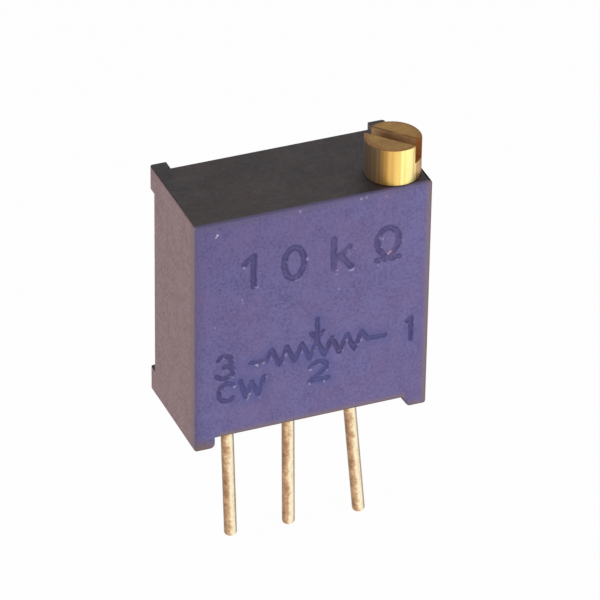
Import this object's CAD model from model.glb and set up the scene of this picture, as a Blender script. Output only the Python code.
# %% [markdown]
# # A square trimmer potentiometer, dressed
# The real part is a small moulded box, about 10 mm each way, with a slotted brass screw at one
# corner of the top and three wires under it. The CAD model already holds every solid at its real
# place. This lesson adds what a solid can't show: the moulded skin with its sunken figures, the
# turned brass, the drawn wire and the light. First the frame is loaded, and its box is noted, so
# that the dressed part can be compared with it at the end.

# %% Load the frame
import math

import bmesh
import bpy
from mathutils import Matrix, Vector
from mathutils.geometry import delaunay_2d_cdt


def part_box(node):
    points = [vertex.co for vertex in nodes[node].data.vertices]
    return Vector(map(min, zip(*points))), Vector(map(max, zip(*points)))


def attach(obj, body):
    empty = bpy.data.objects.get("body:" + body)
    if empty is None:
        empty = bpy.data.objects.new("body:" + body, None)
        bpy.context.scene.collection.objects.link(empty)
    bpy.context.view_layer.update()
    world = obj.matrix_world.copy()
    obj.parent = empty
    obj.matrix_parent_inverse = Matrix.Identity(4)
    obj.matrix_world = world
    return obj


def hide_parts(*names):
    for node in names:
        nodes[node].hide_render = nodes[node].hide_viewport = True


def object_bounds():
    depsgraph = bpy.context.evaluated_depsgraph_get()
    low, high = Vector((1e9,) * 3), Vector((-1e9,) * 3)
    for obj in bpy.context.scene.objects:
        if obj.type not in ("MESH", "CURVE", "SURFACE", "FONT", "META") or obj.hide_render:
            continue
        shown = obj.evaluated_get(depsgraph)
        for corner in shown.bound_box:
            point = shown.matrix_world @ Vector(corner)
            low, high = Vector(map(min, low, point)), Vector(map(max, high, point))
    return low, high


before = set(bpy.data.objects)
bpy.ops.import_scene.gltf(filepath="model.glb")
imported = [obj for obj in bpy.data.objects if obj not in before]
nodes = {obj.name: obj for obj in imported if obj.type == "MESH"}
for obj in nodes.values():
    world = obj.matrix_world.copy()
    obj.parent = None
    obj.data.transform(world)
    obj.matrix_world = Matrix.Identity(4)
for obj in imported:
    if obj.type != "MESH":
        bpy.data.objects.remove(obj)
cad_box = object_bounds()
MM = 0.001
print("nodes in the frame:", len(nodes))
print("CAD box:", cad_box)

# %% [markdown]
# ## A short way to write materials
# Each finish below is a node tree. Three helpers keep them readable: one starts a material, one
# adds a node with its values, and one joins two sockets. Colours are written as they look on a
# screen, from 0 to 255, and turned into the linear numbers that Blender mixes with.


# %% Helpers for node trees
def tone(r, g, b):
    """A colour given as it looks on a screen, as linear RGBA."""
    flat = []
    for v in (r, g, b):
        v = v / 255
        flat.append(v / 12.92 if v <= 0.04045 else ((v + 0.055) / 1.055) ** 2.4)
    return (*flat, 1.0)


def add(tree, kind, at=(0, 0), **values):
    """A node with its settings, and its input values by name or number."""
    node = tree.nodes.new(kind)
    node.location = at
    for key, value in values.items():
        if key.startswith("in_"):
            name = key[3:]
            node.inputs[int(name) if name.isdigit() else name.replace("_", " ")].default_value = value
        else:
            setattr(node, key, value)
    return node


def join(tree, out, into):
    tree.links.new(out, into)


def start(name, **values):
    """An empty material with a Principled BSDF, whose plain values are set on its own sockets."""
    mat = bpy.data.materials.new(name)
    mat.use_nodes = True
    tree = mat.node_tree
    tree.nodes.clear()
    bsdf = add(tree, "ShaderNodeBsdfPrincipled", (600, 0))
    out = add(tree, "ShaderNodeOutputMaterial", (900, 0))
    join(tree, bsdf.outputs["BSDF"], out.inputs["Surface"])
    for key, value in values.items():
        bsdf.inputs[key.replace("_", " ")].default_value = value
    return mat, tree, bsdf


def ramp(tree, fac, stops, at=(0, 0)):
    """A colour ramp over a mask; stops are (place, colour)."""
    node = add(tree, "ShaderNodeValToRGB", at)
    line = node.color_ramp
    while len(line.elements) > 1:
        line.elements.remove(line.elements[-1])
    line.elements[0].position, line.elements[0].color = stops[0]
    for place, colour in stops[1:]:
        line.elements.new(place).color = colour
    join(tree, fac, node.inputs["Fac"])
    return node.outputs["Color"]


def blend(tree, fac, first, second, at=(0, 0), kind="MIX"):
    """Mixes two colours; fac, first and second are sockets or plain values."""
    node = add(tree, "ShaderNodeMix", at, data_type="RGBA", blend_type=kind)
    for value, socket in ((fac, node.inputs[0]), (first, node.inputs[6]), (second, node.inputs[7])):
        if isinstance(value, bpy.types.NodeSocket):
            join(tree, value, socket)
        else:
            socket.default_value = value
    return node.outputs[2]


def calc(tree, how, first, second=None, at=(0, 0), clamp=False):
    """One step of arithmetic on sockets or plain values."""
    node = add(tree, "ShaderNodeMath", at, operation=how, use_clamp=clamp)
    for value, socket in ((first, node.inputs[0]), (second, node.inputs[1])):
        if isinstance(value, bpy.types.NodeSocket):
            join(tree, value, socket)
        elif value is not None:
            socket.default_value = value
    return node.outputs[0]


print("helpers ready")

# %% [markdown]
# ## Grain, the first shared effect
# Moulded plastic, epoxy and ceramic all have a fine grain: tiny lighter and darker spots, and
# slow clouds under them. It could be painted as a picture, but noise in the object's own space
# has no seams and follows a moving piece. It is a node group, because six finishes use it with
# their own sizes. It puts out one mask for colour and one height for bump.


# %% Node group: grain
def make_grain():
    group = bpy.data.node_groups.new("moulded grain", "ShaderNodeTree")
    face = group.interface
    spot = face.new_socket("Spot size", in_out="INPUT", socket_type="NodeSocketFloat")
    spot.default_value = 0.08
    cloud = face.new_socket("Cloud size", in_out="INPUT", socket_type="NodeSocketFloat")
    cloud.default_value = 1.5
    share = face.new_socket("Cloud share", in_out="INPUT", socket_type="NodeSocketFloat")
    share.default_value = 0.4
    force = face.new_socket("Contrast", in_out="INPUT", socket_type="NodeSocketFloat")
    force.default_value = 1.0
    face.new_socket("Mask", in_out="OUTPUT", socket_type="NodeSocketFloat")
    face.new_socket("Height", in_out="OUTPUT", socket_type="NodeSocketFloat")
    enter = add(group, "NodeGroupInput", (-900, 0))
    leave = add(group, "NodeGroupOutput", (600, 0))
    place = add(group, "ShaderNodeTexCoord", (-900, 300))
    fine = add(group, "ShaderNodeTexNoise", (-300, 300), in_Detail=3.0, in_Roughness=0.65)
    slow = add(group, "ShaderNodeTexNoise", (-300, 0), in_Detail=2.0, in_Roughness=0.5)
    for texture, size in ((fine, "Spot size"), (slow, "Cloud size")):
        join(group, place.outputs["Object"], texture.inputs["Vector"])
        scale = calc(group, "DIVIDE", 1.0 / MM, enter.outputs[size], (-600, 0))
        join(group, scale, texture.inputs["Scale"])
    both = add(group, "ShaderNodeMix", (0, 100), data_type="FLOAT")
    join(group, enter.outputs["Cloud share"], both.inputs[0])
    join(group, fine.outputs["Fac"], both.inputs[2])
    join(group, slow.outputs["Fac"], both.inputs[3])
    spread = calc(group, "SUBTRACT", both.outputs[0], 0.5, (150, 200))
    spread = calc(group, "MULTIPLY", spread, enter.outputs["Contrast"], (300, 200))
    spread = calc(group, "ADD", spread, 0.5, (450, 200), clamp=True)
    join(group, spread, leave.inputs["Mask"])
    join(group, fine.outputs["Fac"], leave.inputs["Height"])
    return group


GRAIN = make_grain()


def grain(tree, spot, cloud, share, at=(-900, 0), contrast=1.0):
    """Places the grain group with its own values and returns its mask and height."""
    node = add(tree, "ShaderNodeGroup", at, node_tree=GRAIN)
    node.inputs["Spot size"].default_value = spot
    node.inputs["Cloud size"].default_value = cloud
    node.inputs["Cloud share"].default_value = share
    node.inputs["Contrast"].default_value = contrast
    return node.outputs["Mask"], node.outputs["Height"]


print("group made:", GRAIN.name)

# %% [markdown]
# ## Tool lines, the second shared effect
# Brass turned on a lathe and wire pulled through a die both carry long fine lines. On the screw
# they run down its side, on the wire along its length. The group stretches a noise along Z, and
# reads the direction of the surface, so that the lines go evenly round a piece, a bent one too.


# %% Node group: tool lines
def make_lines():
    group = bpy.data.node_groups.new("tool lines", "ShaderNodeTree")
    face = group.interface
    for name, value in (("Lines", 30.0), ("Length", 2.0)):
        socket = face.new_socket(name, in_out="INPUT", socket_type="NodeSocketFloat")
        socket.default_value = value
    face.new_socket("Mask", in_out="OUTPUT", socket_type="NodeSocketFloat")
    face.new_socket("Fine", in_out="OUTPUT", socket_type="NodeSocketFloat")
    enter = add(group, "NodeGroupInput", (-1300, 0))
    leave = add(group, "NodeGroupOutput", (700, 0))
    place = add(group, "ShaderNodeTexCoord", (-1300, 300))
    parts = add(group, "ShaderNodeSeparateXYZ", (-1100, 300))
    join(group, place.outputs["Object"], parts.inputs[0])
    unit = add(group, "ShaderNodeVectorMath", (-500, 300), operation="MULTIPLY", in_1=(1.0, 1.0, 0.0))
    join(group, place.outputs["Normal"], unit.inputs[0])
    wide = add(group, "ShaderNodeVectorMath", (-300, 300), operation="SCALE")
    join(group, unit.outputs[0], wide.inputs[0])
    join(group, enter.outputs["Lines"], wide.inputs["Scale"])
    rise = calc(group, "DIVIDE", parts.outputs["Z"], enter.outputs["Length"], (-700, 0))
    rise = calc(group, "MULTIPLY", rise, 1.0 / MM, (-500, 0))
    up = add(group, "ShaderNodeCombineXYZ", (-300, 0))
    join(group, rise, up.inputs["Z"])
    total = add(group, "ShaderNodeVectorMath", (-100, 200), operation="ADD")
    join(group, wide.outputs[0], total.inputs[0])
    join(group, up.outputs[0], total.inputs[1])
    coarse = add(group, "ShaderNodeTexNoise", (150, 300), in_Scale=0.22, in_Detail=2.0)
    fine = add(group, "ShaderNodeTexNoise", (150, 0), in_Scale=1.0, in_Detail=4.0)
    for texture, name in ((coarse, "Mask"), (fine, "Fine")):
        join(group, total.outputs[0], texture.inputs["Vector"])
        join(group, texture.outputs["Fac"], leave.inputs[name])
    return group


LINES = make_lines()


def tool_lines(tree, lines, length, at=(-900, 300)):
    """Places the tool-line group; lines counts them round the piece, length is in millimetres."""
    node = add(tree, "ShaderNodeGroup", at, node_tree=LINES)
    node.inputs["Lines"].default_value = lines
    node.inputs["Length"].default_value = length
    return node.outputs["Mask"], node.outputs["Fine"]


print("group made:", LINES.name)

# %% [markdown]
# ## The moulded plastic
# The box is a hard, matt thermoset plastic. Its front is a violet blue with a fine grain. The
# sides, which slide along the mould's walls as the part leaves it, are duller and browner, and
# the top is a dark grey. The finish picks its colour by the direction of the surface in the
# part's own space, so the colours stay on their faces however it is turned. The sunken figures
# are a darker blue, and the edges have small pale chips. Both come from numbers that are stored
# on the mesh when it is made, which keeps them exactly on the grooves and edges.


# %% Material: moulded plastic
FLECKS = [
    # across and up the front, radius, in mm, and tone: pale grains, and a pinkish one at the right
    (-3.88, 9.55, 0.055, (196, 184, 206)),
    (-3.94, 9.46, 0.040, (176, 166, 190)),
    (3.14, 7.24, 0.090, (214, 164, 176)),
    (3.04, 7.20, 0.070, (206, 160, 172)),
    (-2.89, 6.49, 0.045, (142, 134, 178)),
    (-2.86, 6.36, 0.040, (136, 128, 172)),
    (1.02, 6.08, 0.055, (136, 130, 176)),
    (-3.95, 5.49, 0.040, (140, 132, 176)),
    (-0.59, 9.88, 0.050, (150, 142, 176)),
    (1.85, 9.88, 0.050, (156, 150, 176)),
    (2.08, 9.90, 0.045, (150, 144, 170)),
    (2.88, 9.80, 0.050, (156, 116, 158)),
]


FRONT_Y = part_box("housing")[0][1] / MM
FRONT_WIDTH, FRONT_HEIGHT, FOOT_HEIGHT, FOOT_START = 9.5, 10.0, 0.46, 3.85
HALF_WIDTH, BOX_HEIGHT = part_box("housing")[1][0] / MM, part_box("housing")[1][2] / MM


def attribute_of(tree, name, at):
    """A number from 0 to 1 that the mesh carries."""
    return add(tree, "ShaderNodeAttribute", at, attribute_name=name).outputs["Fac"]


def smooth_mask(tree, value, low, high, at):
    """0 below low, 1 above high and a soft step between."""
    node = add(tree, "ShaderNodeMapRange", at, interpolation_type="SMOOTHSTEP")
    node.inputs["From Min"].default_value = low
    node.inputs["From Max"].default_value = high
    join(tree, value, node.inputs["Value"])
    return node.outputs["Result"]


def fleck_mask(tree, place, way, centre, radius, at):
    """1 inside a small uneven spot on the front, 0 elsewhere."""
    wobble = add(tree, "ShaderNodeTexNoise", at, in_Scale=9000.0)
    join(tree, place.outputs["Object"], wobble.inputs["Vector"])
    shift = add(tree, "ShaderNodeVectorMath", (at[0] + 150, at[1]), operation="MULTIPLY_ADD")
    join(tree, wobble.outputs["Color"], shift.inputs[0])
    shift.inputs[1].default_value = (1.2 * radius * MM,) * 3
    join(tree, place.outputs["Object"], shift.inputs[2])
    away = add(tree, "ShaderNodeVectorMath", (at[0] + 300, at[1]), operation="DISTANCE")
    join(tree, shift.outputs[0], away.inputs[0])
    drift = 0.6 * radius
    away.inputs[1].default_value = ((centre[0] + drift) * MM, (FRONT_Y + drift) * MM, (centre[1] + drift) * MM)
    inside = calc(tree, "LESS_THAN", away.outputs["Value"], radius * MM, (at[0] + 450, at[1]))
    facing = calc(tree, "LESS_THAN", way.outputs["Y"], -0.5, (at[0] + 450, at[1] - 100))
    return calc(tree, "MULTIPLY", inside, facing, (at[0] + 600, at[1]))


def front_tone(tree, place, spot, mask, tint):
    """The front's violet blue: darker at the top left, with grain and a faint change of hue."""
    across = calc(tree, "MULTIPLY_ADD", spot.outputs["X"], -1 / (FRONT_WIDTH * MM), (-1700, 300))
    across.node.inputs[2].default_value = 0.5
    rise = calc(tree, "DIVIDE", spot.outputs["Z"], FRONT_HEIGHT * MM, (-1700, 150), clamp=True)
    rise = calc(tree, "POWER", rise, 1.5, (-1600, 150))
    strip = smooth_mask(tree, across, 0.945, 0.985, (-1500, 100))
    dim = calc(tree, "MULTIPLY_ADD", strip, 0.45, (-1350, 250), clamp=True)
    join(tree, calc(tree, "MULTIPLY", across, rise, (-1500, 250), clamp=True), dim.node.inputs[2])
    deep = blend(tree, dim, tone(80, 74, 129), tone(67, 61, 114), (-1200, 400))
    pale = blend(tree, dim, tone(129, 124, 178), tone(112, 106, 158), (-1200, 200))
    plain = blend(tree, mask, deep, pale, (-1000, 300))
    pinker = blend(tree, 0.40, plain, tone(122, 98, 138), (-1000, 450))
    front = blend(tree, tint, plain, pinker, (-850, 300))
    # greyer along the upper and the left edge
    upper = smooth_mask(tree, spot.outputs["Z"], (BOX_HEIGHT - 0.36) * MM, (BOX_HEIGHT - 0.04) * MM, (-1400, 550))
    left = smooth_mask(tree, spot.outputs["X"], (0.24 - HALF_WIDTH) * MM, (0.04 - HALF_WIDTH) * MM, (-1400, 700))
    edge = calc(tree, "MULTIPLY", calc(tree, "MAXIMUM", upper, left, (-1250, 600)), 0.40, (-1100, 600))
    front = blend(tree, edge, front, tone(92, 86, 108), (-700, 300))
    # browner toward the right and the lower border; the feet reach below the lower border
    side = calc(tree, "ABSOLUTE", spot.outputs["X"], None, (-1400, 900))
    middle = calc(tree, "LESS_THAN", side, FOOT_START * MM, (-1250, 900))
    foot = calc(tree, "MULTIPLY", middle, FOOT_HEIGHT * MM, (-1100, 900))
    low = calc(tree, "SUBTRACT", spot.outputs["Z"], foot, (-950, 900))
    right = calc(tree, "SUBTRACT", HALF_WIDTH * MM, spot.outputs["X"], (-1100, 1050))
    near = calc(tree, "MINIMUM", low, right, (-800, 900))
    wide = calc(tree, "MULTIPLY", smooth_mask(tree, near, 0.36 * MM, 0.04 * MM, (-650, 900)), 0.85, (-500, 900))
    front = blend(tree, wide, front, tone(136, 118, 122), (-550, 300))
    # a brown stain on the left foot, and a thin brown rim
    corner = add(tree, "ShaderNodeVectorMath", (-1250, 1200), operation="DISTANCE")
    join(tree, place, corner.inputs[0])
    corner.inputs[1].default_value = (-4.50 * MM, FRONT_Y * MM, 0.0)
    stain = smooth_mask(tree, corner.outputs["Value"], 0.75 * MM, 0.10 * MM, (-1100, 1200))
    front = blend(tree, calc(tree, "MULTIPLY", stain, 0.75, (-650, 1200)), front, tone(118, 98, 86), (-400, 300))
    rim = calc(tree, "MULTIPLY", smooth_mask(tree, near, 0.14 * MM, 0.05 * MM, (-650, 1050)), 0.80, (-500, 1050))
    return blend(tree, rim, front, tone(122, 103, 98), (-250, 300))


def make_case_finish():
    mat, tree, bsdf = start("case_plastic", Roughness=0.62, IOR=1.47)
    place = add(tree, "ShaderNodeTexCoord", (-2100, 0))
    way = add(tree, "ShaderNodeSeparateXYZ", (-1900, -200))
    join(tree, place.outputs["Normal"], way.inputs[0])
    spot = add(tree, "ShaderNodeSeparateXYZ", (-1900, 200))
    join(tree, place.outputs["Object"], spot.inputs[0])
    mask, height = grain(tree, 0.12, 0.55, 0.25, (-1700, 500), 2.8)
    tint, _ = grain(tree, 0.32, 1.6, 0.6, (-1700, 700), 3.4)
    front = front_tone(tree, place.outputs["Object"], spot, mask, tint)
    sides = blend(tree, mask, tone(108, 80, 84), tone(170, 143, 146), (-1000, 0))
    cheek = blend(tree, mask, tone(78, 54, 54), tone(110, 84, 82), (-1000, -100))
    inner = calc(tree, "GREATER_THAN", spot.outputs["X"], 0.0, (-1150, -100))
    inner = calc(tree, "MULTIPLY", inner, calc(tree, "LESS_THAN", way.outputs["X"], 0.0, (-1150, -150)), (-1050, -100))
    sides = blend(tree, inner, sides, cheek, (-850, 0))
    clouds, _ = grain(tree, 0.28, 1.3, 0.60, (-1350, -200), 4.2)
    lid = blend(tree, clouds, tone(6, 2, 4), tone(52, 44, 46), (-1000, -200))
    lid = blend(tree, calc(tree, "MULTIPLY", tint, 0.45, (-1150, -200)), lid, tone(60, 40, 36), (-850, -200))
    under = ramp(tree, mask, [(0.0, tone(74, 58, 68)), (1.0, tone(108, 86, 98))], (-1000, -400))
    # each face takes its own tone by the direction it looks, and a rounded edge takes both
    side_mask = smooth_mask(tree, calc(tree, "ABSOLUTE", way.outputs["X"], None, (-1700, -200)), 0.10, 0.70,
                            (-1500, -200))
    lid_mask = smooth_mask(tree, way.outputs["Z"], 0.30, 0.85, (-1500, -350))
    down = calc(tree, "MULTIPLY", way.outputs["Z"], -1.0, (-1700, -500))
    under_mask = smooth_mask(tree, down, 0.05, 0.55, (-1500, -500))
    groove = attribute_of(tree, "groove", (-900, -400))
    flat = calc(tree, "SUBTRACT", 1.0, calc(tree, "MULTIPLY", groove, 30.0, (-900, -550), clamp=True), (-800, -400))
    # the front's colour reaches a little way round its edges, further on the top than on the sides
    behind = calc(tree, "SUBTRACT", spot.outputs["Y"], FRONT_Y * MM, (-1700, -650))
    round_side = smooth_mask(tree, behind, 0.04 * MM, 0.11 * MM, (-1500, -650))
    round_top = smooth_mask(tree, behind, 0.10 * MM, 0.22 * MM, (-1500, -800))
    side_mask = calc(tree, "MULTIPLY", side_mask, round_side, (-1300, -200))
    lid_mask = calc(tree, "MULTIPLY", lid_mask, round_top, (-1300, -350))
    near_front = smooth_mask(tree, behind, 0.65 * MM, 0.25 * MM, (-1500, -950))
    near_front = calc(tree, "MULTIPLY", near_front, 0.5, (-1300, -950))
    sides = blend(tree, near_front, sides, tone(116, 102, 118), (-850, -100))
    side_mask, lid_mask, under_mask = (
        calc(tree, "MULTIPLY", face, flat, (-800, -200 - 150 * k))
        for k, face in enumerate((side_mask, lid_mask, under_mask))
    )
    base = blend(tree, side_mask, front, sides, (-700, 200))
    base = blend(tree, lid_mask, base, lid, (-550, 200))
    base = blend(tree, under_mask, base, under, (-400, 200))
    # a faint patchy blue stain round the plan, then the sunken figures, darker and with broken borders
    stain = attribute_of(tree, "stain", (-700, -100))
    patch = smooth_mask(tree, tint, 0.25, 0.75, (-700, -250))
    stain = calc(tree, "MULTIPLY", stain, calc(tree, "MULTIPLY", patch, 0.85, (-600, -250)), (-500, -100))
    base = blend(tree, stain, base, tone(82, 88, 150), (-250, 200))
    uneven = calc(tree, "SUBTRACT", mask, 0.5, (-700, -550))
    sunk = calc(tree, "MULTIPLY_ADD", uneven, 0.5, (-500, -450))
    join(tree, groove, sunk.node.inputs[2])
    wall = smooth_mask(tree, sunk, 0.05, 0.55, (-400, -450))
    bottom = smooth_mask(tree, sunk, 0.60, 1.10, (-400, -600))
    dark = calc(tree, "MULTIPLY_ADD", bottom, -0.30, (-250, -450))
    join(tree, calc(tree, "MULTIPLY", wall, 0.95, (-300, -350)), dark.node.inputs[2])
    worn = calc(tree, "MULTIPLY_ADD", smooth_mask(tree, tint, 0.40, 0.80, (-400, -750)), -0.45, (-250, -600))
    worn.node.inputs[2].default_value = 1.0
    dark = calc(tree, "MULTIPLY", dark, worn, (-150, -450))
    base = blend(tree, dark, base, tone(66, 60, 112), (-50, 200))
    # crumbs of pale filler along the lower borders of the figures, and chips along the edges
    crumbs = add(tree, "ShaderNodeTexNoise", (-700, -700), in_Scale=6500.0, in_Detail=2.0)
    join(tree, place.outputs["Object"], crumbs.inputs["Vector"])
    bright = smooth_mask(tree, crumbs.outputs["Fac"], 0.56, 0.68, (-500, -700))
    border = attribute_of(tree, "border", (-500, -850))
    rim = attribute_of(tree, "rim", (-500, -1000))
    chip = smooth_mask(tree, crumbs.outputs["Fac"], 0.54, 0.62, (-350, -1100))
    chip = calc(tree, "MULTIPLY", calc(tree, "MULTIPLY", rim, 0.55, (-350, -1000)), chip, (-200, -1000))
    chips = calc(tree, "MAXIMUM", calc(tree, "MULTIPLY", bright, border, (-50, -700)), chip, (50, -700))
    base = blend(tree, chips, base, tone(168, 160, 196), (150, 200))
    for number, (x, z, radius, colour) in enumerate(FLECKS):
        base = blend(tree, fleck_mask(tree, place, way, (x, z), radius, (-300, -1200 - 200 * number)), base,
                     tone(*colour), (300 + 150 * number, 200))
    join(tree, base, bsdf.inputs["Base Color"])
    rough = calc(tree, "MULTIPLY_ADD", mask, 0.20, (600, -200))
    rough.node.inputs[2].default_value = 0.52
    join(tree, rough, bsdf.inputs["Roughness"])
    bump = add(tree, "ShaderNodeBump", (600, -400), in_Strength=0.6, in_Distance=0.000014)
    join(tree, height, bump.inputs["Height"])
    join(tree, bump.outputs["Normal"], bsdf.inputs["Normal"])
    return mat


case_plastic = make_case_finish()
print("material made:", case_plastic.name)

# %% [markdown]
# ## The sunken figures
# On the real front, round-nosed figures are sunk into the skin by the mould: the value at the
# top, and below it the plan of the three wires, with the arrow of the wiper and the sense of
# turning. They could be cut with booleans, but round grooves come out softer when the front is
# a fine sheet of triangles whose points are pushed in. So each figure is written as strokes, in
# millimetres across and up the front.


# %% Strokes of the figures
def arc(x, z, rx, rz, start_deg, end_deg, steps=14):
    """Points on part of an ellipse; angles run anticlockwise from the right."""
    turns = [math.radians(start_deg + (end_deg - start_deg) * k / steps) for k in range(steps + 1)]
    return [(x + rx * math.cos(t), z + rz * math.sin(t)) for t in turns]


def figure_three(x, z, w, h):
    """A three with its lower left corner at x, z."""
    top = arc(x + 0.46 * w, z + 0.745 * h, 0.40 * w, 0.245 * h, 150, -90, 12)
    low = arc(x + 0.46 * w, z + 0.26 * h, 0.48 * w, 0.26 * h, 90, -155, 14)
    return [top, low]


def figure_two(x, z, w, h):
    """A two with its lower left corner at x, z."""
    bow = arc(x + 0.48 * w, z + 0.70 * h, 0.42 * w, 0.28 * h, 165, -35, 12)
    return [bow + [(x + 0.03 * w, z), (x + 0.97 * w, z)]]


VALUE = [
    # one, nought, kilo, ohm
    [(-2.80, 8.02), (-2.42, 8.32), (-2.42, 6.98)],
    arc(-0.80, 7.65, 0.40, 0.67, 90, 450, 28),
    [(0.80, 8.34), (0.80, 6.98)],
    [(1.46, 7.88), (0.84, 7.36)],
    [(1.06, 7.55), (1.52, 6.98)],
    [(2.56, 6.98), (2.86, 6.98), (2.86, 7.14)] + arc(3.00, 7.78, 0.44, 0.56, 236, -56, 22)
    + [(3.14, 7.14), (3.14, 6.98), (3.44, 6.98)],
]
ZIGZAG = [(-2.50, 3.55), (-1.90, 3.52)] + [
    (-1.65 + 0.305 * k, 3.95 if k % 2 == 0 else 3.22) for k in range(13)
] + [(2.25, 3.56), (2.95, 3.55)]
PLAN = [
    ZIGZAG,
    [(0.18, 4.92), (0.18, 4.05)],
    [(-0.06, 4.34), (0.18, 4.02), (0.42, 4.34)],
    [(3.88, 3.98), (4.03, 4.10), (4.03, 3.12)],
    # sense of turning
    arc(-3.46, 2.45, 0.34, 0.40, 48, 312, 16),
    [(-2.93, 2.84), (-2.70, 2.06), (-2.45, 2.70), (-2.20, 2.06), (-1.97, 2.84)],
] + figure_three(-3.90, 3.10, 0.72, 1.00) + figure_two(-0.12, 2.16, 0.80, 0.84)
print("strokes:", len(VALUE) + len(PLAN))

# %% [markdown]
# ## What each point of the front knows
# A point's distance to the nearest stroke gives its depth: full along the middle of a stroke,
# none a little outside it, and a smooth slope between. Three numbers from 0 to 1 are kept on the
# mesh. "groove" is that depth, "border" marks the lower right side of each stroke, where pale
# crumbs lie, and "stain" fades away from the strokes of the plan, which are a little bluer.
# The finish reads them, so its marks stay exactly on the figures.

# %% Depth of the figures
import numpy as np

STROKES = [(line, 0.112, 0.0) for line in VALUE] + [(line, 0.088, 1.0) for line in PLAN]
GROOVE_DEPTH = 0.08
WANDER = 0.013
STAIN_REACH = 0.50
CRUMB_SIDE = np.array([0.45, -0.89])


def figure_marks(points):
    """For points [x, z] in mm: their groove, border and stain, and the distance to a stroke."""
    groove, border, stain = (np.zeros(len(points)) for _ in range(3))
    near = np.full(len(points), 9.0)
    # worn strokes: their borders wander by a few hundredths of a millimetre
    points = points + WANDER * np.sin(np.column_stack([
        points @ (19.0, 11.0) + 2.0 * np.sin(points @ (3.1, -7.3)),
        points @ (-13.0, 23.0) + 2.0 * np.sin(points @ (6.7, 2.9)),
    ]))
    for line, half, stained in STROKES:
        for a, b in zip(line[:-1], line[1:]):
            a, b = np.array(a), np.array(b)
            along = np.clip(((points - a) @ (b - a)) / max((b - a) @ (b - a), 1e-9), 0, 1)
            off = points - a - along[:, None] * (b - a)
            away = np.linalg.norm(off, axis=1)
            t = np.clip((1.55 * half - away) / (1.3 * half), 0, 1)
            groove = np.maximum(groove, t * t * (3 - 2 * t))
            low = (off @ CRUMB_SIDE > 0.6 * away) & (away > 0.7 * half) & (away < 1.8 * half)
            border = np.maximum(border, low)
            stain = np.maximum(stain, stained * np.clip(1 - away / STAIN_REACH, 0, 1))
            near = np.minimum(near, away)
    return {"groove": groove, "border": border * (1 - groove), "stain": stain}, near


print("deepest groove:", GROOVE_DEPTH, "mm")

# %% [markdown]
# ## The box's skin
# The CAD box has sharp edges, and the real mould leaves small radii. A copy of the CAD mesh is
# worked in millimetres: its outer edges get a narrow bevel, its front is taken out and filled
# again with points that lie close together near the figures, and these are pushed in. The copy
# then stands for the CAD box, at the same place and with the same form.


# %% Copy, bevel and fill the front
EDGE_BEVEL = 0.10
BACK_STRIP = 1.0


def clean_copy(node):
    """The node's mesh in millimetres, with its flat faces joined."""
    work = bmesh.new()
    work.from_mesh(nodes[node].data)
    bmesh.ops.scale(work, vec=(1 / MM,) * 3, verts=work.verts)
    bmesh.ops.remove_doubles(work, verts=work.verts, dist=0.0005)
    bmesh.ops.dissolve_limit(
        work, angle_limit=math.radians(0.5), verts=work.verts, edges=work.edges, use_dissolve_boundaries=False
    )
    return work


def bevel_outside(work, width):
    """Bevels the sharp edges round the front, the top and the feet, and returns the new faces."""
    low, high = (Vector(c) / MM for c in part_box("housing"))
    chosen = []
    for edge in work.edges:
        if len(edge.link_faces) != 2 or not edge.is_convex or edge.calc_face_angle() < math.radians(50):
            continue
        ends = [v.co for v in edge.verts]
        flush = any(
            all(abs(p[axis] - place) < 0.002 for p in ends)
            for axis, place in ((1, low.y), (2, high.z), (2, low.z))
        )
        if flush and min(p.y for p in ends) < high.y - BACK_STRIP:
            chosen.append(edge)
    made = bmesh.ops.bevel(
        work, geom=chosen, offset=width, offset_type="OFFSET", segments=3, profile=0.5,
        affect="EDGES", clamp_overlap=False, loop_slide=True,
    )
    return [f for f in made["faces"] if f.is_valid], low


def front_loop(work, front_y):
    """Takes out the flat front and returns its border as a closed loop of vertices."""
    flat = [
        f for f in work.faces
        if f.normal.y < -0.999 and all(abs(v.co.y - front_y) < 0.001 for v in f.verts)
    ]
    area = sum(f.calc_area() for f in flat)
    inside = set(flat)
    border = [e for f in flat for e in f.edges if sum(g in inside for g in e.link_faces) == 1]
    bmesh.ops.delete(work, geom=flat, context="FACES_KEEP_BOUNDARY")
    step = {}
    for e in border:
        for v in e.verts:
            step.setdefault(v, []).append(e.other_vert(v))
    first = border[0].verts[0]
    loop, last, here = [first], None, first
    while True:
        ahead = [v for v in step[here] if v is not last]
        last, here = here, ahead[0]
        if here is first:
            break
        loop.append(here)
    return loop, area


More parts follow.
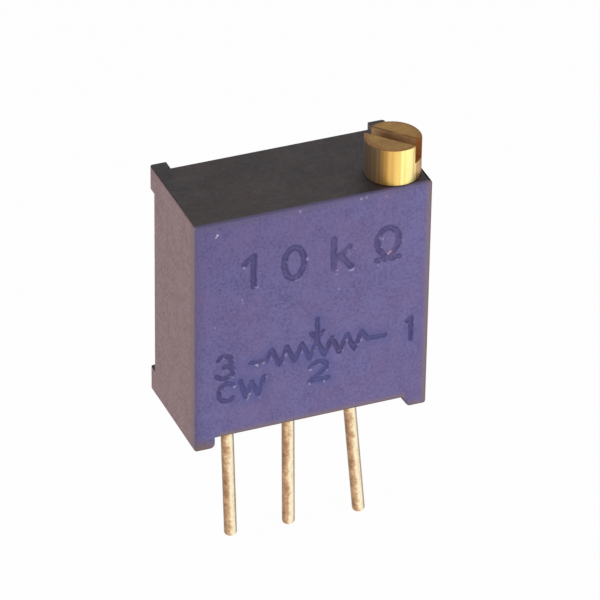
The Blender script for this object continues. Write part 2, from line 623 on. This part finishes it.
def fill_front(work, loop, front_y, layers):
    """Fills the front with triangles, fine near the figures, and sinks the figures."""
    outline = np.array([(v.co.x, v.co.z) for v in loop])
    points = []
    for size, nearest, farthest in ((0.034, 0.0, 0.21), (0.10, 0.21, 0.50), (0.45, 0.50, 99.0)):
        xs = np.arange(-4.7, 4.7, size)
        zs = np.arange(0.0, 10.0, size)
        grid = np.array(np.meshgrid(xs, zs)).reshape(2, -1).T
        _, away = figure_marks(grid)
        grid = grid[(away >= nearest) & (away < farthest)]
        points.append(grid)
    points = np.vstack(points)
    keep = inside_outline(points, outline, 0.03)
    points = points[keep]
    flat = [Vector(p) for p in np.vstack([outline, points])]
    ring = [(k, (k + 1) % len(loop)) for k in range(len(loop))]
    coords, _, faces, origin, _, _ = delaunay_2d_cdt(flat, ring, [], 1, 1e-5)
    marks, _ = figure_marks(np.array([tuple(c) for c in coords]))
    made = []
    for number, c in enumerate(coords):
        known = [k for k in origin[number] if k < len(loop)]
        if known:
            made.append(loop[known[0]])
            continue
        vert = work.verts.new((c.x, front_y + GROOVE_DEPTH * marks["groove"][number], c.y))
        for name, layer in layers.items():
            vert[layer] = marks[name][number]
        made.append(vert)
    fresh = []
    for tri in faces:
        face = work.faces.new([made[k] for k in tri])
        fresh.append(face)
    bmesh.ops.recalc_face_normals(work, faces=work.faces)
    return fresh


def inside_outline(points, outline, margin):
    """Which points lie inside a closed outline, and not closer to it than margin."""
    inside = np.zeros(len(points), bool)
    near = np.full(len(points), 9.0)
    x, z = points[:, 0], points[:, 1]
    for a, b in zip(outline, np.roll(outline, -1, axis=0)):
        cross = (a[1] > z) != (b[1] > z)
        at = (b[0] - a[0]) * (z - a[1]) / (b[1] - a[1] if b[1] != a[1] else 1e-12) + a[0]
        inside ^= cross & (x < at)
        along = np.clip(((points - a) @ (b - a)) / max((b - a) @ (b - a), 1e-12), 0, 1)
        near = np.minimum(near, np.linalg.norm(points - a - along[:, None] * (b - a), axis=1))
    return inside & (near > margin)


def finish_mesh(work, name, mat, sharp_deg=35):
    """Turns a bmesh in millimetres into an object in metres, smooth where it isn't sharp."""
    for face in work.faces:
        face.smooth = True
    for edge in work.edges:
        if len(edge.link_faces) == 2 and edge.calc_face_angle(0) > math.radians(sharp_deg):
            edge.smooth = False
    bmesh.ops.scale(work, vec=(MM,) * 3, verts=work.verts)
    mesh = bpy.data.meshes.new(name)
    work.to_mesh(mesh)
    work.free()
    mesh.materials.append(mat)
    piece = bpy.data.objects.new(name, mesh)
    bpy.context.scene.collection.objects.link(piece)
    return piece


def make_case():
    work = clean_copy("housing")
    layers = {name: work.verts.layers.float.new(name) for name in ("groove", "border", "stain")}
    layers = {name: work.verts.layers.float[name] for name in layers}
    bevels, low = bevel_outside(work, EDGE_BEVEL)
    rim = work.faces.layers.float.new("rim")
    for face in bevels:
        if face.is_valid:
            face[rim] = 1.0
    print("bevel of", EDGE_BEVEL, "mm:", len(bevels), "faces")
    loop, area = front_loop(work, low.y)
    fresh = fill_front(work, loop, low.y, layers)
    print("front:", round(area, 2), "mm2,", len(loop), "border points,", len(fresh), "triangles")
    return finish_mesh(work, "case_shell", case_plastic)


case_shell = make_case()
even = case_shell.modifiers.new("even normals", "WEIGHTED_NORMAL")
even.keep_sharp = True
even.weight = 100
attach(case_shell, "case")
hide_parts("housing")
print("case faces:", len(case_shell.data.polygons))

# %% [markdown]
# ## Turned brass
# The screw is brass, turned on a lathe. Its side shows upright streaks from the small flats that
# the tool left, and one side of the head is darker, where the bright skin is tarnished. The top is
# flat and a little duller, and the slot is brown where oil and dirt stay in it. Brass is a metal,
# so its colour is the colour of what it reflects, and each of these is a tone of that colour with
# its own roughness. Where a thing lies on the head is told by its place and by the direction it
# looks, both in the part's own space.

# %% Material: brass
SCREW_AXIS = (3.60, -1.21)
HEAD_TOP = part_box("adjusting_screw")[1][2] / MM
TARNISH_WAY = (-0.923, 0.384)
SLOT_DEPTH = 0.76
HEAD_RADIUS = 1.095


def round_place(tree, axis, at):
    """A piece's place round an upright axis: the unit vector away from it and the distance."""
    place = add(tree, "ShaderNodeTexCoord", at)
    off = add(tree, "ShaderNodeVectorMath", (at[0] + 150, at[1]), operation="SUBTRACT")
    join(tree, place.outputs["Object"], off.inputs[0])
    off.inputs[1].default_value = (axis[0] * MM, axis[1] * MM, 0.0)
    flat = add(tree, "ShaderNodeVectorMath", (at[0] + 300, at[1]), operation="MULTIPLY", in_1=(1.0, 1.0, 0.0))
    join(tree, off.outputs[0], flat.inputs[0])
    unit = add(tree, "ShaderNodeVectorMath", (at[0] + 450, at[1]), operation="NORMALIZE")
    join(tree, flat.outputs[0], unit.inputs[0])
    far = add(tree, "ShaderNodeVectorMath", (at[0] + 450, at[1] - 150), operation="LENGTH")
    join(tree, flat.outputs[0], far.inputs[0])
    return place, unit.outputs[0], far.outputs["Value"]


def round_tone(tree, unit, uneven, share, stops, at):
    """A ramp round a piece, from the side that TARNISH_WAY faces to the other, made uneven by a mask.

    It returns the colour and the place on the ramp."""
    dot = add(tree, "ShaderNodeVectorMath", at, operation="DOT_PRODUCT", in_1=(*TARNISH_WAY, 0.0))
    join(tree, unit, dot.inputs[0])
    turn = calc(tree, "MULTIPLY_ADD", dot.outputs["Value"], -0.5, (at[0] + 150, at[1]))
    turn.node.inputs[2].default_value = 0.5 - 0.5 * share
    moved = calc(tree, "MULTIPLY_ADD", uneven, share, (at[0] + 300, at[1]))
    join(tree, turn, moved.node.inputs[2])
    return ramp(tree, moved, [(place, tone(*colour)) for place, colour in stops], (at[0] + 450, at[1])), moved


HEAD_SIDE = [
    # from the tarnished side to the bright one
    (0.05, (92, 80, 66)), (0.20, (100, 80, 58)), (0.30, (156, 116, 62)), (0.42, (204, 158, 86)),
    (0.54, (240, 198, 112)), (0.66, (252, 230, 142)), (0.80, (252, 242, 168)), (0.89, (248, 230, 160)),
    (0.96, (196, 150, 94)), (1.00, (150, 108, 70)),
]


def make_brass():
    mat, tree, bsdf = start("screw_brass", Metallic=1.0)
    place, unit, far = round_place(tree, SCREW_AXIS, (-2000, -400))
    streaks, fine = tool_lines(tree, 30.0, 9.0, (-1300, 300))
    spots, _ = grain(tree, 0.10, 0.6, 0.5, (-1300, 0), 2.2)
    # the side: dark where it is tarnished, bright opposite, with streaks from the tool
    side, turn = round_tone(tree, unit, streaks, 0.42, HEAD_SIDE, (-1100, 300))
    _, flats = tool_lines(tree, 9.0, 14.0, (-1300, 500))
    flats = calc(tree, "MULTIPLY", smooth_mask(tree, flats, 0.50, 0.62, (-1100, 500)), 0.55, (-950, 500))
    flats = calc(tree, "MULTIPLY", flats, smooth_mask(tree, turn, 0.40, 0.55, (-950, 650)), (-800, 550))
    side = blend(tree, flats, side, tone(196, 148, 78), (-800, 400))
    # the top: duller, with soft spots, and redder near the rim
    top = blend(tree, spots, tone(114, 84, 44), tone(160, 124, 68), (-700, 0))
    near_rim = smooth_mask(tree, far, 0.70 * HEAD_RADIUS * MM, HEAD_RADIUS * MM, (-900, -150))
    near_rim = calc(tree, "MULTIPLY", near_rim, calc(tree, "SUBTRACT", 1.0, spots, (-900, -300)), (-750, -150))
    top = blend(tree, near_rim, top, tone(112, 70, 46), (-600, 0))
    facing = add(tree, "ShaderNodeSeparateXYZ", (-1300, -500))
    join(tree, place.outputs["Normal"], facing.inputs[0])
    upward = calc(tree, "GREATER_THAN", facing.outputs["Z"], 0.7, (-1100, -500))
    colour = blend(tree, upward, side, top, (-500, 200))
    # the slot: below the top face and inside the round side; old oil hides most of the metal there
    parts = add(tree, "ShaderNodeSeparateXYZ", (-1300, -700))
    join(tree, place.outputs["Object"], parts.inputs[0])
    down = calc(tree, "SUBTRACT", HEAD_TOP * MM, parts.outputs["Z"], (-1100, -700))
    sunk = calc(tree, "GREATER_THAN", down, 0.04 * MM, (-900, -700))
    shallow = calc(tree, "LESS_THAN", down, (SLOT_DEPTH + 0.02) * MM, (-900, -850))
    within = calc(tree, "LESS_THAN", far, (HEAD_RADIUS - 0.02) * MM, (-900, -1000))
    slot = calc(tree, "MULTIPLY", calc(tree, "MULTIPLY", sunk, shallow, (-700, -700)), within, (-500, -700))
    grime = blend(tree, spots, tone(158, 122, 86), tone(206, 168, 122), (-500, -200))
    end = smooth_mask(tree, far, 0.66 * HEAD_RADIUS * MM, 0.90 * HEAD_RADIUS * MM, (-700, -350))
    end = calc(tree, "MULTIPLY", end, smooth_mask(tree, turn, 0.55, 0.70, (-700, -450)), (-600, -350))
    grime = blend(tree, end, grime, tone(176, 110, 58), (-400, -200))
    colour = blend(tree, slot, colour, grime, (-300, 200))
    join(tree, colour, bsdf.inputs["Base Color"])
    tarnish = smooth_mask(tree, calc(tree, "SUBTRACT", 1.0, turn, (-500, 450)), 0.62, 0.82, (-400, 450))
    film = calc(tree, "MULTIPLY", tarnish, calc(tree, "SUBTRACT", 1.0, upward, (-400, 350)), (-250, 450))
    film = calc(tree, "MAXIMUM", film, slot, (-100, 450))
    bare = calc(tree, "MULTIPLY_ADD", film, -0.85, (-100, 0))
    bare.node.inputs[2].default_value = 1.0
    join(tree, bare, bsdf.inputs["Metallic"])
    rough = calc(tree, "MULTIPLY_ADD", fine, 0.30, (0, -200))
    rough.node.inputs[2].default_value = 0.28
    join(tree, rough, bsdf.inputs["Roughness"])
    grooves = calc(tree, "MULTIPLY", fine, calc(tree, "SUBTRACT", 1.0, upward, (-300, -500)), (-100, -500))
    bump = add(tree, "ShaderNodeBump", (300, -300), in_Strength=0.5, in_Distance=0.00002)
    join(tree, grooves, bump.inputs["Height"])
    join(tree, bump.outputs["Normal"], bsdf.inputs["Normal"])
    return mat


screw_brass = make_brass()
print("head top at", round(HEAD_TOP, 2), "mm")

# %% [markdown]
# ## Drawn wire
# The leads are round copper wire with a thin plating, pulled through a die. They are pale and
# bright on one side and a warm salmon brown on the other, where the copper shows through, with
# short stains and fine lines along their length. The colour follows the direction of the surface,
# so it stays on its side along a bend too, and one finish serves the three leads.

# %% Material: lead wire
WIRE_ROUND = [
    # from the worn side to the bright one
    (0.04, (138, 108, 80)), (0.14, (164, 128, 96)), (0.28, (188, 148, 112)), (0.42, (214, 174, 136)),
    (0.56, (244, 216, 174)), (0.70, (255, 246, 216)), (0.84, (252, 234, 198)), (1.00, (234, 208, 168)),
]


def make_wire():
    mat, tree, bsdf = start("lead_wire", Metallic=1.0)
    place = add(tree, "ShaderNodeTexCoord", (-1700, 0))
    streaks, fine = tool_lines(tree, 7.0, 0.9, (-1300, 300))
    spots, _ = grain(tree, 0.14, 0.45, 0.5, (-1300, 0), 3.6)
    uneven = calc(tree, "MULTIPLY_ADD", streaks, 0.5, (-1100, 100))
    join(tree, calc(tree, "MULTIPLY", spots, 0.5, (-1200, 0)), uneven.node.inputs[2])
    colour, _ = round_tone(tree, place.outputs["Normal"], uneven, 0.75, WIRE_ROUND, (-900, 200))
    # a thin darker line along the end of the bright side
    aside = add(tree, "ShaderNodeVectorMath", (-900, -200), operation="DOT_PRODUCT", in_1=(*TARNISH_WAY, 0.0))
    join(tree, place.outputs["Normal"], aside.inputs[0])
    edge = smooth_mask(tree, aside.outputs["Value"], -0.70, -0.94, (-700, -200))
    edge = calc(tree, "MULTIPLY", edge, 0.80, (-500, -200))
    colour = blend(tree, edge, colour, tone(122, 100, 76), (-200, 200))
    join(tree, colour, bsdf.inputs["Base Color"])
    rough = calc(tree, "MULTIPLY_ADD", fine, 0.25, (0, -200))
    rough.node.inputs[2].default_value = 0.20
    join(tree, rough, bsdf.inputs["Roughness"])
    bump = add(tree, "ShaderNodeBump", (300, -300), in_Strength=0.4, in_Distance=0.00001)
    join(tree, fine, bump.inputs["Height"])
    join(tree, bump.outputs["Normal"], bsdf.inputs["Normal"])
    return mat


lead_wire = make_wire()
print("material made:", lead_wire.name)

# %% [markdown]
# ## The hidden pieces
# Epoxy closes the back, and inside are the ceramic plate with its printed track and silver pads,
# the nylon wheel and hub, the spring with its brush, a steel clip and a rubber ring. They show
# from behind or when the part is taken apart. One maker writes them all from a few numbers: two
# tones, the size of the grain, how rough the surface is and how strong its bump is.


# %% Materials: hidden pieces
def make_plain(name, dark, light, spot, cloud, rough, bump_mm, metal=0.0, spread=0.12):
    mat, tree, bsdf = start(name, Metallic=metal)
    mask, height = grain(tree, spot, cloud, 0.45)
    colour = ramp(tree, mask, [(0.32, tone(*dark)), (0.68, tone(*light))], (-500, 200))
    join(tree, colour, bsdf.inputs["Base Color"])
    shine = calc(tree, "MULTIPLY_ADD", mask, spread, (0, -200))
    shine.node.inputs[2].default_value = rough
    join(tree, shine, bsdf.inputs["Roughness"])
    bump = add(tree, "ShaderNodeBump", (300, -300), in_Strength=0.5, in_Distance=bump_mm * MM)
    join(tree, height, bump.inputs["Height"])
    join(tree, bump.outputs["Normal"], bsdf.inputs["Normal"])
    return mat


HIDDEN = {
    "epoxy": make_plain("epoxy", (34, 38, 66), (58, 62, 96), 0.25, 2.2, 0.22, 0.02),
    "alumina": make_plain("alumina", (226, 222, 212), (242, 240, 232), 0.05, 0.8, 0.55, 0.005),
    "resistor_film": make_plain("resistor_film", (26, 25, 26), (52, 49, 48), 0.04, 0.5, 0.40, 0.004),
    "silver_film": make_plain("silver_film", (168, 166, 158), (206, 205, 198), 0.05, 0.5, 0.35, 0.004, 1.0),
    "solder": make_plain("solder", (150, 152, 156), (206, 208, 212), 0.18, 0.6, 0.22, 0.02, 1.0),
    "clip_steel": make_plain("clip_steel", (150, 151, 154), (192, 193, 196), 0.06, 0.7, 0.28, 0.004, 1.0),
    "ring_rubber": make_plain("ring_rubber", (18, 18, 19), (36, 36, 38), 0.05, 0.5, 0.55, 0.006),
    "wheel_nylon": make_plain("wheel_nylon", (214, 208, 190), (236, 231, 216), 0.08, 1.0, 0.38, 0.006),
    "rotor_nylon": make_plain("rotor_nylon", (42, 42, 46), (66, 66, 72), 0.08, 1.0, 0.42, 0.006),
    "spring_alloy": make_plain("spring_alloy", (178, 158, 108), (214, 196, 146), 0.05, 0.6, 0.22, 0.003, 1.0),
    "brush_alloy": make_plain("brush_alloy", (204, 172, 96), (232, 206, 134), 0.04, 0.4, 0.20, 0.003, 1.0),
}
WEARS = {
    "potting": "epoxy", "ceramic_substrate": "alumina", "resistive_track": "resistor_film",
    "collector_track": "silver_film", "end_pad_1": "silver_film", "end_pad_3": "silver_film",
    "solder_1": "solder", "solder_2": "solder", "solder_3": "solder", "retaining_clip": "clip_steel",
    "o_ring": "ring_rubber", "worm_wheel": "wheel_nylon", "clutch_rotor": "rotor_nylon",
    "wiper_carrier": "spring_alloy", "wiper_brush": "brush_alloy",
}
for node_name, finish in WEARS.items():
    nodes[node_name].material_slots[0].material = HIDDEN[finish]
for node_name in ("lead_1", "lead_2", "lead_3"):
    nodes[node_name].material_slots[0].material = lead_wire
nodes["adjusting_screw"].material_slots[0].material = screw_brass
print("nodes dressed:", len(WEARS) + 4)

# %% [markdown]
# ## Floor and backdrop
# The picture shows the part on pure white. The floor is a plain white sheet at the tips of the
# leads. For rays from the camera, and for those that gloss sends out, it is mostly a plain white
# glow, with a little real white paint under it that keeps a faint shadow. The world is white for
# the same rays and a soft, weaker grey for the light that it gives.


# %% Floor and world
def make_floor():
    level = cad_box[0][2] - 0.00002
    mesh = bpy.data.meshes.new("floor")
    half = 0.6
    mesh.from_pydata([(-half, -half, level), (half, -half, level), (half, half, level), (-half, half, level)], [], [(0, 1, 2, 3)])
    floor = bpy.data.objects.new("floor", mesh)
    bpy.context.scene.collection.objects.link(floor)
    mat = bpy.data.materials.new("floor_white")
    mat.use_nodes = True
    tree = mat.node_tree
    tree.nodes.clear()
    paint = add(tree, "ShaderNodeBsdfDiffuse", (0, 0), in_Color=(0.92, 0.92, 0.92, 1.0))
    glow = add(tree, "ShaderNodeEmission", (0, -200), in_Color=(1, 1, 1, 1), in_Strength=1.0)
    seen = seen_rays(tree)
    share = calc(tree, "MULTIPLY", seen, 0.98, (0, 200))
    both = add(tree, "ShaderNodeMixShader", (300, 0))
    out = add(tree, "ShaderNodeOutputMaterial", (500, 0))
    join(tree, share, both.inputs[0])
    join(tree, paint.outputs[0], both.inputs[1])
    join(tree, glow.outputs[0], both.inputs[2])
    below = add(tree, "ShaderNodeNewGeometry", (300, 300)).outputs["Backfacing"]
    open_side = add(tree, "ShaderNodeBsdfTransparent", (300, -200))
    one_way = add(tree, "ShaderNodeMixShader", (450, 100))
    join(tree, below, one_way.inputs[0])
    join(tree, both.outputs[0], one_way.inputs[1])
    join(tree, open_side.outputs[0], one_way.inputs[2])
    join(tree, one_way.outputs[0], out.inputs["Surface"])
    mesh.materials.append(mat)
    return floor


def seen_rays(tree):
    """1 for rays from the camera, from gloss and through glass, 0 for the rays that light things."""
    path = add(tree, "ShaderNodeLightPath", (-700, 300))
    two = calc(tree, "MAXIMUM", path.outputs["Is Camera Ray"], path.outputs["Is Glossy Ray"], (-500, 300))
    return calc(tree, "MAXIMUM", two, path.outputs["Is Transmission Ray"], (-300, 300))


def make_world():
    world = bpy.data.worlds.new("studio")
    bpy.context.scene.world = world
    world.use_nodes = True
    tree = world.node_tree
    tree.nodes.clear()
    seen = seen_rays(tree)
    colour = blend(tree, seen, (0.26, 0.25, 0.25, 1), (1, 1, 1, 1), (0, 0))
    back = add(tree, "ShaderNodeBackground", (300, 0), in_Strength=1.0)
    out = add(tree, "ShaderNodeOutputWorld", (500, 0))
    join(tree, colour, back.inputs["Color"])
    join(tree, back.outputs[0], out.inputs["Surface"])


floor = make_floor()
make_world()
print("floor at", round(cad_box[0][2] / MM, 2), "mm")

# %% [markdown]
# ## Lamps
# In the photograph the light comes low from the front: the front is clear and even, the left side
# is dimmer and warmer, and the top is dark. Three soft lamps do this: a large one low in front, a
# warm one at the left, and a weak one above that keeps the top from going black.


# %% Three soft lamps
def lamp(name, place, aim, size, watts, colour):
    light = bpy.data.lights.new(name, "AREA")
    light.shape = "RECTANGLE"
    light.size, light.size_y = size[0] * MM, size[1] * MM
    light.energy = watts
    light.color = colour
    obj = bpy.data.objects.new(name, light)
    bpy.context.scene.collection.objects.link(obj)
    obj.location = Vector(place) * MM
    obj.rotation_euler = (Vector(aim) * MM - obj.location).to_track_quat("-Z", "Y").to_euler()
    return obj


lamp("front_softbox", (26, -88, 14), (0, 0, 4), (110, 50), 0.050, (1.0, 0.99, 1.0))
lamp("left_fill", (-90, -18, 18), (0, 0, 4), (50, 60), 0.032, (1.0, 0.96, 0.92))
lamp("top_fill", (0, 10, 110), (0, 0, 4), (60, 60), 0.008, (1.0, 0.98, 0.96))
print("lamps:", len(bpy.data.lights))

# %% [markdown]
# ## Camera
# The camera stands to the left and above, far away behind a long lens, as the nearly parallel
# edges of the box in the photograph ask. Its place was worked out from the corners of the box.


# %% Camera
CAM_AZIMUTH, CAM_ELEVATION, CAM_ROLL = -22.317, 33.008, 0.873
CAM_TARGET, CAM_DISTANCE, CAM_FOCAL_PX = (0.437, 0.0, 4.259), 181.82, 4762.64


def make_camera():
    az, el, roll = (math.radians(v) for v in (CAM_AZIMUTH, CAM_ELEVATION, CAM_ROLL))
    back = Vector((math.sin(az) * math.cos(el), -math.cos(az) * math.cos(el), math.sin(el)))
    right = Vector((math.cos(az), math.sin(az), 0.0))
    up = back.cross(right)
    right2 = right * math.cos(roll) + up * math.sin(roll)
    up2 = back.cross(right2)
    data = bpy.data.cameras.new("photo_camera")
    data.sensor_width = 36.0
    data.lens = CAM_FOCAL_PX / 600 * 36.0
    data.clip_start, data.clip_end = 0.005, 5.0
    cam = bpy.data.objects.new("photo_camera", data)
    bpy.context.scene.collection.objects.link(cam)
    place = (Vector(CAM_TARGET) + back * CAM_DISTANCE) * MM
    cam.matrix_world = Matrix([
        [right2.x, up2.x, back.x, place.x], [right2.y, up2.y, back.y, place.y],
        [right2.z, up2.z, back.z, place.z], [0, 0, 0, 1],
    ])
    bpy.context.scene.camera = cam
    return data.lens


lens = make_camera()
bpy.context.scene.view_settings.view_transform = "Standard"
print("lens:", round(lens, 1), "mm")
